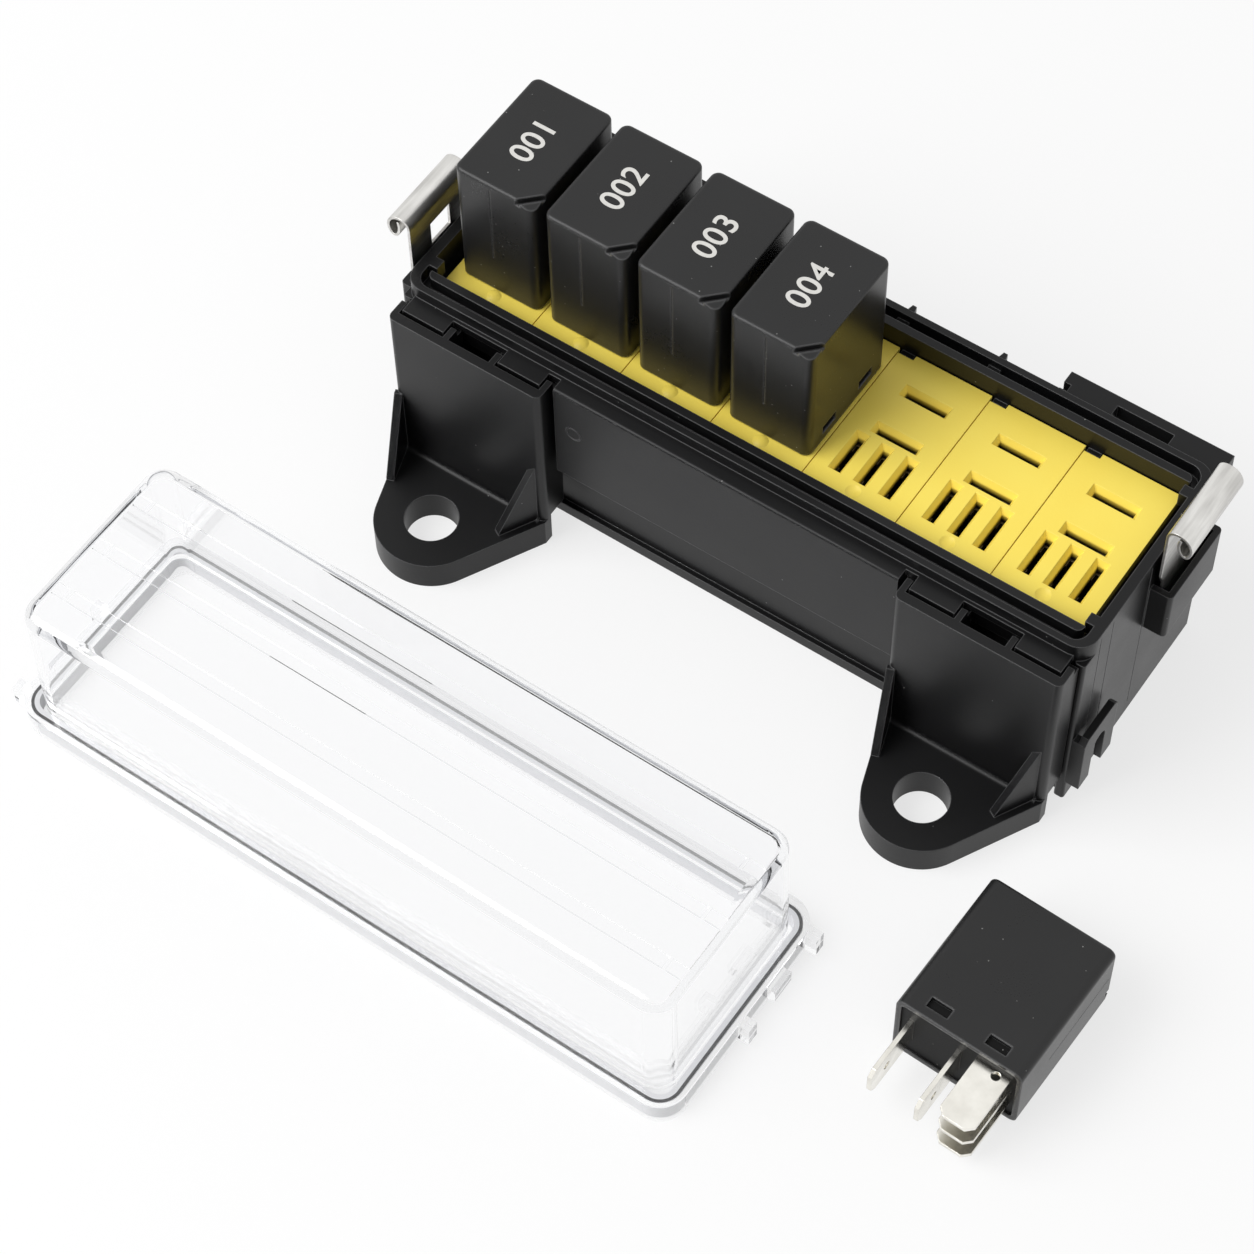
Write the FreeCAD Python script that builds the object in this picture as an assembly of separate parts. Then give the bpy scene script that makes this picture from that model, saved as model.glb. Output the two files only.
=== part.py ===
import FreeCAD, Part
import math
import os

# Relay box: a black moulded housing with seven yellow relay sockets, four plugged relays and a loose one,
# two spring clips, two slide-on mounting feet, and a clear cover that lies beside the box.
# All sizes are in millimetres. The sub-parts are made about the middle of the housing's underside, and the
# origin is moved at the end to the middle of the two foot holes, on the surface that the box stands on.

V = FreeCAD.Vector
UP = V(0, 0, 1)
ALONG = V(1, 0, 0)
ACROSS = V(0, 1, 0)

# Sockets
SOCKET_COUNT = 7
SOCKET_PITCH = 17.4
SOCKET_GAP = 0.2
SOCKET_DEPTH = 31.6
SOCKET_HEIGHT = 28.0
SOCKET_WALL_CLEARANCE = 0.2
SOCKET_NOTCH_WIDTH = 3.0
SOCKET_NOTCH_DEPTH = 1.0
DIMPLE_RADIUS = 1.3
DIMPLE_DEPTH = 0.4
DIMPLE_Y = -12.2
SLOT_SIDE_CLEARANCE = 0.2
SLOT_END_CLEARANCE = 0.6
FUNNEL_FLARE = 0.65
FUNNEL_DEPTH = 1.2
SLOT_DEPTH = 2.6
CAVITY_MARGIN = 0.15

# Blades of a relay, and where they stand in a socket
BLADE_THICKNESS = 0.8
BLADE_WIDTH = 6.3
BLADE_LENGTH = 11.0
BLADE_TIP = 1.2
BLADE_HOLE_RADIUS = 0.75
SIDE_BLADE_HOLE = (-0.95, -0.95)
CROSS_BLADE_HOLE = (0.0, -6.8)
BLADE_ABOVE_BASE = 1.5
SIDE_BLADE_PITCH = 4.65
SIDE_BLADE_INSET = 5.0
MIDDLE_BLADE_GAP = 3.25
REAR_BLADE_INSET = 2.8
CROSS_BLADE_X = 0.3

# Relays
PLUGGED_RELAYS = 4
RELAY_WIDTH = 15.5
RELAY_DEPTH = 22.8
RELAY_HEIGHT = 26.5
RELAY_WALL = 0.9
RELAY_CORNER_RADIUS = 1.5
RELAY_EDGE_RADIUS = 0.6
RELAY_OFFSET_X = 0.4
RELAY_OFFSET_Y = 0.4
RELAY_STANDOFF = 0.3
RELAY_BASE_THICKNESS = 3.0
RELAY_BASE_RECESS = 0.4
RELAY_BASE_CLEARANCE = 0.05
LATCH_WINDOW_WIDTH = 3.8
LATCH_WINDOW_HEIGHT = 1.8
LATCH_WINDOW_SPACING = 10.6
LATCH_WINDOW_RISE = 1.3
LATCH_BOSS_INSET = 0.15
CORNER_STEP = 2.5
CORNER_RIDGE = 1.9
CORNER_RIDGE_DROP = 0.7
CORNER_SLOPE = 0.45
CORNER_GROOVE_DEPTH = 1.4
CORNER_BACKING = 3.4
SEAM_WIDTH = 0.16
SEAM_DEPTH = 0.1
SEAM_X = -0.8
SEAM_Z = 8.2

# Female contacts
CONTACT_SHEET = 0.4
CONTACT_HEIGHT = 8.0
CONTACT_GRIP_CLEARANCE = 0.08
CONTACT_LIP = 1.7
CONTACT_NECK = 1.5
CRIMP_RADIUS = 1.0
CRIMP_LENGTH = 6.0

# Housing. A piece that is joined to a wall reaches into it by JOIN.
JOIN = 0.5
EDGE_ROUND = 0.5
DECK_HEIGHT = 39.5
RIM_ABOVE_DECK = 4.1
END_GAP = 1.75
END_WALL = 1.85
INNER_WALL = 1.5
SEAL_GROOVE = 1.7
SEAL_GROOVE_DEPTH = 2.6
OUTER_WALL = 1.2
RIM_BAND = 7.6
LOWER_WALL = 2.3
RIM_CORNER_RADIUS = 3.5
GROOVE_END_WIDTH = 1.05
GROOVE_CORNER_RADIUS = 2.3
INNER_CORNER_RADIUS = 1.2
BRIDGE_Y = 14.3
BRIDGE_WIDTH = 2.0
BRIDGE_HEIGHT = 3.0
KEY_DROP = 0.4
KEY_CLEARANCE = 0.3
LIP_HEIGHT = 2.4
LIP_PROUD = 1.0
SOCKET_LEDGE = 1.8
SOCKET_LEDGE_THICKNESS = 1.6
APRON_PROUD = 3.0
APRON_WALL = 1.6
APRON_TOP_DROP = 2.3
APRON_BOTTOM = 19.0
APRON_SIDE_GAP = 0.9
EJECTOR_X = -28.8
EJECTOR_Z = 31.9
EJECTOR_RADIUS = 1.5
EJECTOR_DEPTH = 0.15
EJECTOR_LINE = 0.25
END_SEAM_YS = (-15.9, -12.2, -0.4)
END_SEAM_WIDTH = 0.18
END_SEAM_DEPTH = 0.12
END_SEAM_BOTTOM = 3.0
END_SEAM_TOP = 42.4

# Mounting feet and the rails that carry them
FOOT_PITCH = 97.0
FOOT_WIDTH = 30.0
FOOT_OFFSET_X = 0.1
FOOT_WALL = 1.8
FOOT_TOP_DROP = 0.3
FOOT_PLATE = 6.0
FOOT_HOLE_RADIUS = 4.65
FOOT_HOLE_FROM_WALL = 9.8
FOOT_HOLE_SHIFT = -1.5
FOOT_END_RADIUS = 9.8
FOOT_FLANGE = 1.1
FOOT_FLANGE_TOP_DEPTH = 2.4
FOOT_COVE = 0.9
FOOT_CORNER_RADIUS = 1.2
GUSSET_THICKNESS = 1.4
GUSSET_HEIGHT = 15.0
GUSSET_REACH = 8.0
GUSSET_INSET = 1.3
GUSSET_LOW_END = 0.4
GUSSET_TOP_REACH = 0.6
RAIL_HEAD_WIDTH = 8.2
RAIL_HEAD_THICKNESS = 1.7
RAIL_NECK_WIDTH = 4.6
RAIL_BOTTOM = 6.5
TAB_THICKNESS = 1.5
LEDGE_STRIP = 0.7
HOOK_CLEARANCE = 0.3
HOOK_LIP = 1.2
HOOK_LIP_REACH = 1.5

# Rear flanges
FLANGE_DEPTH = 5.0
FLANGE_THICKNESS = 3.2
FLANGE_DROP = 1.6
FLANGE_INNER_X = 34.8
FLANGE_SLOT_WIDTH = 10.3
FLANGE_SLOT_DEPTH = 2.6
FLANGE_SLOT_INSET = 0.6
FLANGE_SLOT_X = 49.5
FLANGE_NOTCH_WIDTH = 1.3
FLANGE_NOTCH_DEPTH = 1.4
FLANGE_NOTCH_Y = 1.9
FLANGE_CORNER_WIDTH = 2.4
FLANGE_CORNER_DEPTH = 3.0
FLANGE_CORNER_Y = 0.3
WEB_THICKNESS = 1.4
WEB_BOTTOM = 8.0
REAR_FIN_XS = (7.0, 24.2)
REAR_FIN_DEPTH = 2.2
REAR_FIN_WIDTH = 2.2

# Cover clips and their pockets
CLIP_WIDTH = 15.8
CLIP_BACK_MARGIN = 4.3
CLIP_FOOT_WIDTH = 13.4
CLIP_SHEET = 0.5
CLIP_BEND_Z = 50.6
CLIP_STANDOFF = 1.2
CLIP_CURL = ((0.2, 1.3), (0.9, 1.95), (1.9, 2.1), (2.8, 1.85), (3.6, 1.15), (4.05, 0.15), (4.1, -0.95),
             (3.8, -1.95), (3.25, -2.5), (2.55, -2.2), (2.1, -1.3), (1.95, -0.2), (2.15, 1.1))
CLIP_CURL_STEPS = 60
CLIP_SHOULDER_GAP = 1.0
CLIP_SHOULDER_RISE = 3.0
CLIP_WINDOW_WIDTH = 5.2
CLIP_WINDOW_HEIGHT = 5.0
CLIP_WINDOW_Z = 45.0
POCKET_DEPTH = 3.9
POCKET_WALL = 1.1
POCKET_TOP = 36.0
POCKET_BOTTOM = 25.0
POCKET_SIDE_CLEARANCE = 0.3
POCKET_CORNER_RADIUS = 0.8

# Ears on the end walls
EAR_Y = -15.2
EAR_WIDTH = 10.2
EAR_BOTTOM = 5.0
EAR_HEIGHT = 14.0
EAR_PLATE = 1.3
EAR_GAP = 1.0
EAR_SLOT_WIDTH = 3.8
EAR_SLOT_TOP = 10.0
EAR_WEB = 1.6

# Clear cover and its seal, lying on the surface in front of the box
COVER_CENTRE_X = -20.25
COVER_CENTRE_Y = -83.0
COVER_TURN = -0.5
COVER_X = 65.1
COVER_Y = 21.3
COVER_HEIGHT = 31.6
COVER_WALL = 1.6
COVER_DRAFT = 0.4
COVER_CORNER_RADIUS = 4.0
COVER_RIB_PITCH = 10.2
COVER_RIB_WIDTH = 2.2
COVER_RIB_HEIGHT = 0.35
COVER_RIB_BREAK = 57.5
COVER_RIB_BREAK_WIDTH = 0.6
COVER_SKIRT = 0.9
COVER_SKIRT_HEIGHT = 5.5
COVER_SKIRT_TOP = 1.4
COVER_TOP_RADIUS = 2.2
SEAL_SIDE_CLEARANCE = 0.15
SEAL_HEIGHT = 3.6
SEAL_BOTTOM = 0.4
LUG_REACH = 2.1
LUG_WIDTH = 2.2
LUG_CLEARANCE = 0.4
LUG_HEIGHT = 4.2
LUG_BOTTOM = 1.0
CATCH_REACH = 1.5
CATCH_WIDTH = 4.6
CATCH_HEIGHT = 3.6
CATCH_BOTTOM = 0.8

# Loose relay, lying on its side
LOOSE_CENTRE_X = 76.9
LOOSE_CENTRE_Y = -60.1
LOOSE_TURN = -2.0

# Places worked out from the sizes above
RIM_TOP = DECK_HEIGHT + RIM_ABOVE_DECK
CAVITY_X = SOCKET_COUNT * SOCKET_PITCH / 2 + END_GAP
HOUSING_X = CAVITY_X + END_WALL
CAVITY_Y = SOCKET_DEPTH / 2 + SOCKET_WALL_CLEARANCE
GROOVE_Y = CAVITY_Y + INNER_WALL
OUTER_Y = GROOVE_Y + SEAL_GROOVE
HOUSING_Y = OUTER_Y + OUTER_WALL
LOWER_Y = CAVITY_Y + LOWER_WALL
SOCKET_BOTTOM = DECK_HEIGHT - SOCKET_HEIGHT
LEDGE_TOP = RIM_TOP - APRON_TOP_DROP
APRON_Y = HOUSING_Y + APRON_PROUD
FOOT_TOP = LEDGE_TOP - FOOT_TOP_DROP
RAIL_FACE_Y = APRON_Y + 0.5
RAIL_SPACING = FOOT_WIDTH - RAIL_HEAD_WIDTH - 2 * (FOOT_FLANGE + HOOK_CLEARANCE)
HOOK_TOP = LEDGE_TOP - TAB_THICKNESS - HOOK_CLEARANCE
FOOT_BACK_Y = RAIL_FACE_Y + 2 * HOOK_CLEARANCE
FOOT_FRONT_Y = FOOT_BACK_Y + FOOT_WALL
FOOT_CENTRES = [FOOT_OFFSET_X + side * FOOT_PITCH / 2 for side in (-1, 1)]
HOLE_Y = -(FOOT_FRONT_Y + FOOT_HOLE_FROM_WALL)
ORIGIN = V(FOOT_OFFSET_X + FOOT_HOLE_SHIFT, HOLE_Y, 0)
CLIP_X = HOUSING_X + CLIP_STANDOFF
CLIP_Y = HOUSING_Y - CLIP_BACK_MARGIN - CLIP_WIDTH / 2
CLIP_FOOT_Z = POCKET_BOTTOM + POCKET_WALL + 0.3
SOCKET_XS = [(k - (SOCKET_COUNT - 1) / 2) * SOCKET_PITCH for k in range(SOCKET_COUNT)]
SIDE_BLADE_Y = RELAY_OFFSET_Y - RELAY_DEPTH / 2 + SIDE_BLADE_INSET
MIDDLE_BLADE_Y = SIDE_BLADE_Y + BLADE_WIDTH / 2 + MIDDLE_BLADE_GAP
REAR_BLADE_Y = RELAY_OFFSET_Y + RELAY_DEPTH / 2 - REAR_BLADE_INSET
SIDE_BLADES = [(i * SIDE_BLADE_PITCH, SIDE_BLADE_Y, "y") for i in (-1, 0, 1)]
CROSS_BLADES = [(CROSS_BLADE_X, y, "x") for y in (MIDDLE_BLADE_Y, REAR_BLADE_Y)]
BLADES = SIDE_BLADES + CROSS_BLADES


def block(x0, x1, y0, y1, z0, z1):
    """A plain box between two corners."""
    return Part.makeBox(x1 - x0, y1 - y0, z1 - z0, V(x0, y0, z0))


def centred(x, y, width, depth, z0, z1):
    """A box with its middle at x, y."""
    return block(x - width / 2, x + width / 2, y - depth / 2, y + depth / 2, z0, z1)


def upright_edges(shape):
    return [e for e in shape.Edges if len(e.Vertexes) == 2 and e.tangentAt(e.FirstParameter).isEqual(UP, 1e-6)
            or len(e.Vertexes) == 2 and e.tangentAt(e.FirstParameter).isEqual(-UP, 1e-6)]


def rounded(x, y, width, depth, z0, z1, radius):
    """A centred box with rounded upright edges."""
    shape = centred(x, y, width, depth, z0, z1)
    return shape.makeFillet(radius, upright_edges(shape))


def prism(points, direction):
    """A flat outline pushed along a direction."""
    face = Part.Face(Part.makePolygon(points + [points[0]]))
    return face.extrude(direction)


def joined(shapes):
    return shapes[0].fuse(shapes[1:]).removeSplitter()


def turned_end(shape):
    """The same feature on the other end of the box, which is the first one turned half round."""
    copy = shape.copy()
    copy.rotate(V(0, 0, 0), UP, 180)
    return copy


def rectangle(x, y, width, depth, z):
    x0, x1, y0, y1 = x - width / 2, x + width / 2, y - depth / 2, y + depth / 2
    return Part.makePolygon([V(x0, y0, z), V(x1, y0, z), V(x1, y1, z), V(x0, y1, z), V(x0, y0, z)])


# Housing

def housing_shell():
    """Rim band, lower walls, bottom lip and ledges that carry the sockets."""
    under_band = RIM_TOP - RIM_BAND / 2
    band = rounded(0, 0, 2 * HOUSING_X, 2 * HOUSING_Y, RIM_TOP - RIM_BAND, RIM_TOP, RIM_CORNER_RADIUS)
    lower = rounded(0, 0, 2 * HOUSING_X, 2 * LOWER_Y, 0, under_band, 1.0)
    lip = rounded(0, 0, 2 * HOUSING_X, 2 * (LOWER_Y + LIP_PROUD), 0, LIP_HEIGHT, 1.0)
    ends = [rounded(side * (HOUSING_X - END_WALL / 2), 0, END_WALL, 2 * HOUSING_Y, 0, under_band, EDGE_ROUND)
            for side in (-1, 1)]
    shell = joined([band, lower, lip] + ends)
    cavity = rounded(0, 0, 2 * CAVITY_X, 2 * CAVITY_Y, SOCKET_BOTTOM, RIM_TOP + 1, 1.0)
    hollow = centred(0, 0, 2 * CAVITY_X, 2 * (CAVITY_Y - SOCKET_LEDGE), -1, SOCKET_BOTTOM + 1)
    skirt = centred(0, 0, 2 * CAVITY_X, 2 * CAVITY_Y, -1, SOCKET_BOTTOM - SOCKET_LEDGE_THICKNESS)
    return shell.cut([cavity, hollow, skirt])


def seal_groove():
    """A groove round the rim: it follows both long sides, turns the corners and opens into the end gaps."""
    floor = RIM_TOP - SEAL_GROOVE_DEPTH
    outer = rounded(0, 0, 2 * CAVITY_X, 2 * OUTER_Y, floor, RIM_TOP + 1, GROOVE_CORNER_RADIUS)
    inner = rounded(0, 0, 2 * (CAVITY_X - GROOVE_END_WIDTH), 2 * GROOVE_Y, floor - 1, RIM_TOP + 2,
                    INNER_CORNER_RADIUS)
    return outer.cut(inner)


def bridges():
    """Small blocks across the end gaps. They keep the end sockets in place."""
    inner = SOCKET_COUNT * SOCKET_PITCH / 2 + SOCKET_GAP
    outer = CAVITY_X + END_WALL / 2
    return [centred(end * (inner + outer) / 2, side * BRIDGE_Y, outer - inner, BRIDGE_WIDTH,
                    RIM_TOP - BRIDGE_HEIGHT, RIM_TOP) for end in (-1, 1) for side in (-1, 1)]


def ledge_strips():
    """A narrow ledge along the front of the rim, behind each foot."""
    front = -HOUSING_Y - LEDGE_STRIP
    reach = FOOT_WIDTH / 2 + APRON_SIDE_GAP + 1
    limit = HOUSING_X - RIM_CORNER_RADIUS
    return [block(max(centre - reach, -limit), min(centre + reach, limit), front, -HOUSING_Y + JOIN,
                  LEDGE_TOP - TAB_THICKNESS, LEDGE_TOP) for centre in FOOT_CENTRES]


def apron():
    """The flat front panel between the feet, hollow behind and open below."""
    left = FOOT_CENTRES[0] + FOOT_WIDTH / 2 + APRON_SIDE_GAP
    right = FOOT_CENTRES[1] - FOOT_WIDTH / 2 - APRON_SIDE_GAP
    outer = block(left, right, -APRON_Y, -LOWER_Y + JOIN, APRON_BOTTOM, LEDGE_TOP)
    front_edges = [e for e in outer.Edges if abs(e.CenterOfMass.y + APRON_Y) < 0.01
                   and abs(e.CenterOfMass.z - LEDGE_TOP) < 0.01]
    outer = outer.makeFillet(EDGE_ROUND, front_edges)
    place = V(EJECTOR_X, -APRON_Y - 1, EJECTOR_Z)
    mark, middle = [Part.makeCylinder(radius, EJECTOR_DEPTH + 1, place, ACROSS)
                    for radius in (EJECTOR_RADIUS, EJECTOR_RADIUS - EJECTOR_LINE)]
    outer = outer.cut(mark.cut(middle))
    inner = block(left + APRON_WALL, right - APRON_WALL, -APRON_Y + APRON_WALL, -LOWER_Y,
                  APRON_BOTTOM - 1, RIM_TOP - RIM_BAND)
    return outer, inner


def end_seams():
    """Fine upright lines on the end walls, where the parts of the mould met."""
    lines = []
    for y in END_SEAM_YS:
        line = centred(HOUSING_X, y, 2 * END_SEAM_DEPTH, END_SEAM_WIDTH, END_SEAM_BOTTOM, END_SEAM_TOP)
        lines += [line, turned_end(line)]
    return lines


def rail(x):
    """One T-shaped upright rail. The hooks of a foot slide up over its head as far as the tab on its top."""
    back = RAIL_FACE_Y - RAIL_HEAD_THICKNESS
    left, right = x - RAIL_HEAD_WIDTH / 2, x + RAIL_HEAD_WIDTH / 2
    head = block(left, right, -RAIL_FACE_Y, -back, RAIL_BOTTOM, LEDGE_TOP)
    neck = block(x - RAIL_NECK_WIDTH / 2, x + RAIL_NECK_WIDTH / 2, -back - 0.1, -LOWER_Y + JOIN,
                 RAIL_BOTTOM, LEDGE_TOP)
    tab = block(left, right, -RAIL_FACE_Y, -HOUSING_Y + JOIN, LEDGE_TOP - TAB_THICKNESS, LEDGE_TOP)
    return [head, neck, tab]


def rear_flange(side):
    """A ledge on the back of the rim with a slot, for hanging the box on a tongue."""
    top = RIM_TOP - FLANGE_DROP
    back = HOUSING_Y + FLANGE_DEPTH
    inner, outer = sorted((side * FLANGE_INNER_X, side * HOUSING_X))
    plate = block(inner, outer, HOUSING_Y - 1, back, top - FLANGE_THICKNESS, top)
    slot = centred(side * FLANGE_SLOT_X, HOUSING_Y + FLANGE_SLOT_INSET + FLANGE_SLOT_DEPTH / 2,
                   FLANGE_SLOT_WIDTH, FLANGE_SLOT_DEPTH, top - FLANGE_THICKNESS - 1, top + 1)
    corner = centred(side * HOUSING_X, HOUSING_Y + FLANGE_CORNER_Y, FLANGE_CORNER_WIDTH, FLANGE_CORNER_DEPTH,
                     top - FLANGE_THICKNESS - 1, top + 1)
    step = centred(side * (FLANGE_INNER_X + FLANGE_NOTCH_WIDTH / 2), HOUSING_Y + FLANGE_NOTCH_Y,
                   FLANGE_NOTCH_WIDTH, FLANGE_NOTCH_DEPTH, top - FLANGE_THICKNESS - 1, top + 1)
    webs = []
    for x in (FLANGE_INNER_X + FLANGE_NOTCH_WIDTH + 1, HOUSING_X - FLANGE_CORNER_WIDTH / 2):
        left = side * x - WEB_THICKNESS / 2
        outline = [V(left, LOWER_Y - JOIN, top - 1), V(left, back, top - 1),
                   V(left, back, top - FLANGE_THICKNESS), V(left, LOWER_Y - JOIN, WEB_BOTTOM)]
        webs.append(prism(outline, V(WEB_THICKNESS, 0, 0)))
    return [plate.cut([slot, corner, step])] + webs


def rear_fin(x):
    """An upright fin on the back wall that narrows to a blunt edge."""
    base = HOUSING_Y - 1
    half = REAR_FIN_WIDTH / 2
    tip = HOUSING_Y + REAR_FIN_DEPTH
    outline = [V(x - half, base, RIM_BAND), V(x + half, base, RIM_BAND), V(x + half / 3, tip, RIM_BAND),
               V(x - half / 3, tip, RIM_BAND)]
    fin = prism(outline, V(0, 0, RIM_TOP - FLANGE_DROP - RIM_BAND))
    root = block(x - half, x + half, LOWER_Y - JOIN, base + 0.1, RIM_BAND, RIM_TOP - FLANGE_DROP)
    return [fin, root]


def pocket():
    """The open-topped pocket on the right end wall that holds the foot of a clip."""
    half = CLIP_FOOT_WIDTH / 2 + POCKET_SIDE_CLEARANCE + POCKET_WALL
    outer = block(HOUSING_X - JOIN, HOUSING_X + POCKET_DEPTH, CLIP_Y - half, CLIP_Y + half,
                  POCKET_BOTTOM, POCKET_TOP)
    corner = [e for e in upright_edges(outer) if e.CenterOfMass.x > HOUSING_X + 1]
    outer = outer.makeFillet(POCKET_CORNER_RADIUS, corner)
    inner = block(HOUSING_X, HOUSING_X + POCKET_DEPTH - POCKET_WALL, CLIP_Y - half + POCKET_WALL,
                  CLIP_Y + half - POCKET_WALL, POCKET_BOTTOM + POCKET_WALL, POCKET_TOP + 1)
    return outer, inner


def ear():
    """The n-shaped ear low on the right end wall: a slotted plate on a web at its front edge."""
    front = EAR_Y - EAR_WIDTH / 2
    back = EAR_Y + EAR_WIDTH / 2
    plate_x = HOUSING_X + EAR_GAP
    x1 = plate_x + EAR_PLATE
    top = EAR_BOTTOM + EAR_HEIGHT
    outline = [V(plate_x, front, EAR_BOTTOM), V(plate_x, back, EAR_BOTTOM), V(plate_x, back, top - 1),
               V(plate_x, back - 1, top), V(plate_x, front + 1, top), V(plate_x, front, top - 1)]
    plate = prism(outline, V(EAR_PLATE, 0, 0))
    slot = block(plate_x - 1, x1 + 1, EAR_Y - EAR_SLOT_WIDTH / 2, EAR_Y + EAR_SLOT_WIDTH / 2,
                 EAR_BOTTOM - 1, EAR_BOTTOM + EAR_SLOT_TOP - EAR_SLOT_WIDTH / 2)
    arch = Part.makeCylinder(EAR_SLOT_WIDTH / 2, EAR_PLATE + 2,
                             V(plate_x - 1, EAR_Y, EAR_BOTTOM + EAR_SLOT_TOP - EAR_SLOT_WIDTH / 2), ALONG)
    web = block(HOUSING_X - JOIN, plate_x + 0.1, front, front + EAR_WEB, EAR_BOTTOM, top - 1)
    return [plate.cut([slot, arch]), web]


def housing():
    shell = housing_shell().cut([seal_groove()] + end_seams())
    front, front_hollow = apron()
    adds = [front.cut(front_hollow)] + bridges() + ledge_strips()
    for centre in FOOT_CENTRES:
        for side in (-1, 1):
            adds += rail(centre + side * RAIL_SPACING / 2)
    for side in (-1, 1):
        adds += rear_flange(side)
    for x in REAR_FIN_XS:
        adds += rear_fin(x)
    box, box_hollow = pocket()
    adds += [box.cut(box_hollow), turned_end(box.cut(box_hollow))]
    for piece in ear():
        adds += [piece, turned_end(piece)]
    key_front = SOCKET_DEPTH / 2 - SOCKET_NOTCH_DEPTH + KEY_CLEARANCE
    for x in SOCKET_XS:
        left = x - SOCKET_PITCH / 2
        adds.append(block(left + KEY_CLEARANCE, left + SOCKET_NOTCH_WIDTH - KEY_CLEARANCE, key_front,
                          CAVITY_Y + JOIN, SOCKET_BOTTOM - JOIN, DECK_HEIGHT - KEY_DROP))
    return joined([shell] + adds)


# Yellow sockets

def blade_cut(x, y, along, width, thickness, z0, z1):
    if along == "x":
        return centred(x, y, width, thickness, z0, z1)
    return centred(x, y, thickness, width, z0, z1)


def funnel(x, y, along):
    """The sloped lead-in over a blade slot."""
    length = BLADE_WIDTH + 2 * SLOT_END_CLEARANCE
    gap = BLADE_THICKNESS + 2 * SLOT_SIDE_CLEARANCE
    low = (length, gap) if along == "x" else (gap, length)
    wires = [rectangle(x, y, low[0], low[1], DECK_HEIGHT - FUNNEL_DEPTH),
             rectangle(x, y, low[0] + 2 * FUNNEL_FLARE, low[1] + 2 * FUNNEL_FLARE, DECK_HEIGHT)]
    lead = Part.makeLoft(wires, True, True)
    slot = blade_cut(x, y, along, length, gap, DECK_HEIGHT - SLOT_DEPTH - 0.1,
                     DECK_HEIGHT - FUNNEL_DEPTH + 0.05)
    return [lead, slot]


def contact_size():
    """Outer width and depth of a female contact round its blade."""
    width = BLADE_WIDTH + 2 * (CONTACT_GRIP_CLEARANCE + CONTACT_SHEET)
    depth = BLADE_THICKNESS + 2 * (CONTACT_GRIP_CLEARANCE + CONTACT_SHEET)
    return width, depth


def socket(index):
    x = SOCKET_XS[index]
    width, depth = contact_size()
    body = centred(x, 0, SOCKET_PITCH - SOCKET_GAP, SOCKET_DEPTH, SOCKET_BOTTOM, DECK_HEIGHT)
    cavity_depth = 2 * max(depth / 2, 2 * CRIMP_RADIUS - depth / 2) + 2 * CAVITY_MARGIN
    left = x - SOCKET_PITCH / 2
    back = SOCKET_DEPTH / 2
    cuts = [block(left - 1, left + SOCKET_NOTCH_WIDTH, back - SOCKET_NOTCH_DEPTH, back + 1,
                  SOCKET_BOTTOM - 1, DECK_HEIGHT + 1)]
    for bx, by, along in BLADES:
        cuts += funnel(x + bx, by, along)
        cuts.append(blade_cut(x + bx, by, along, width + 2 * CAVITY_MARGIN, cavity_depth,
                              SOCKET_BOTTOM - 1, DECK_HEIGHT - SLOT_DEPTH))
    body = body.cut(cuts)
    ball_radius = (DIMPLE_RADIUS ** 2 + DIMPLE_DEPTH ** 2) / (2 * DIMPLE_DEPTH)
    if index < PLUGGED_RELAYS:
        ball = Part.makeSphere(ball_radius, V(x, DIMPLE_Y, DECK_HEIGHT + DIMPLE_DEPTH - ball_radius))
        cap = ball.common(centred(x, DIMPLE_Y, 4, 4, DECK_HEIGHT - 0.2, DECK_HEIGHT + 1))
        return joined([body, cap])
    return body.cut(Part.makeSphere(ball_radius, V(x, DIMPLE_Y, DECK_HEIGHT - DIMPLE_DEPTH + ball_radius)))


# Female contacts

def contact(x, y, along):
    """A folded receptacle with two curled lips, and an open crimp barrel below it."""
    width, depth = contact_size()
    top = DECK_HEIGHT - SLOT_DEPTH - CAVITY_MARGIN
    bottom = top - CONTACT_HEIGHT
    back = block(-width / 2, width / 2, -depth / 2, -depth / 2 + CONTACT_SHEET, bottom - CONTACT_NECK, top)
    pieces = [back]
    for side in (-1, 1):
        edge = side * width / 2
        pieces.append(block(min(edge, edge - side * CONTACT_SHEET), max(edge, edge - side * CONTACT_SHEET),
                            -depth / 2, depth / 2, bottom, top))
        pieces.append(block(min(edge, edge - side * CONTACT_LIP), max(edge, edge - side * CONTACT_LIP),
                            depth / 2 - CONTACT_SHEET, depth / 2, bottom, top))
    crimp_y = -depth / 2 + CRIMP_RADIUS
    crimp_top = bottom - CONTACT_NECK
    crimp_bottom = crimp_top - CRIMP_LENGTH
    tube = Part.makeCylinder(CRIMP_RADIUS, CRIMP_LENGTH, V(0, crimp_y, crimp_bottom))
    bore = Part.makeCylinder(CRIMP_RADIUS - CONTACT_SHEET, CRIMP_LENGTH + 2, V(0, crimp_y, crimp_bottom - 1))
    mouth = centred(0, crimp_y + CRIMP_RADIUS, CRIMP_RADIUS, CRIMP_RADIUS * 1.2, crimp_bottom - 1, bottom)
    neck = block(-CRIMP_RADIUS * 0.8, CRIMP_RADIUS * 0.8, -depth / 2, -depth / 2 + CONTACT_SHEET,
                 crimp_top - 1, bottom)
    pieces += [tube.cut([bore, mouth]), neck]
    shape = joined(pieces)
    if along == "y":
        shape.rotate(V(0, 0, 0), UP, 90)
    shape.translate(V(x, y, 0))
    return shape


def contacts(index):
    return Part.makeCompound([contact(SOCKET_XS[index] + bx, by, along) for bx, by, along in BLADES])


# Relays, made standing on z = 0 with their own middle at x = 0, y = 0

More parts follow.
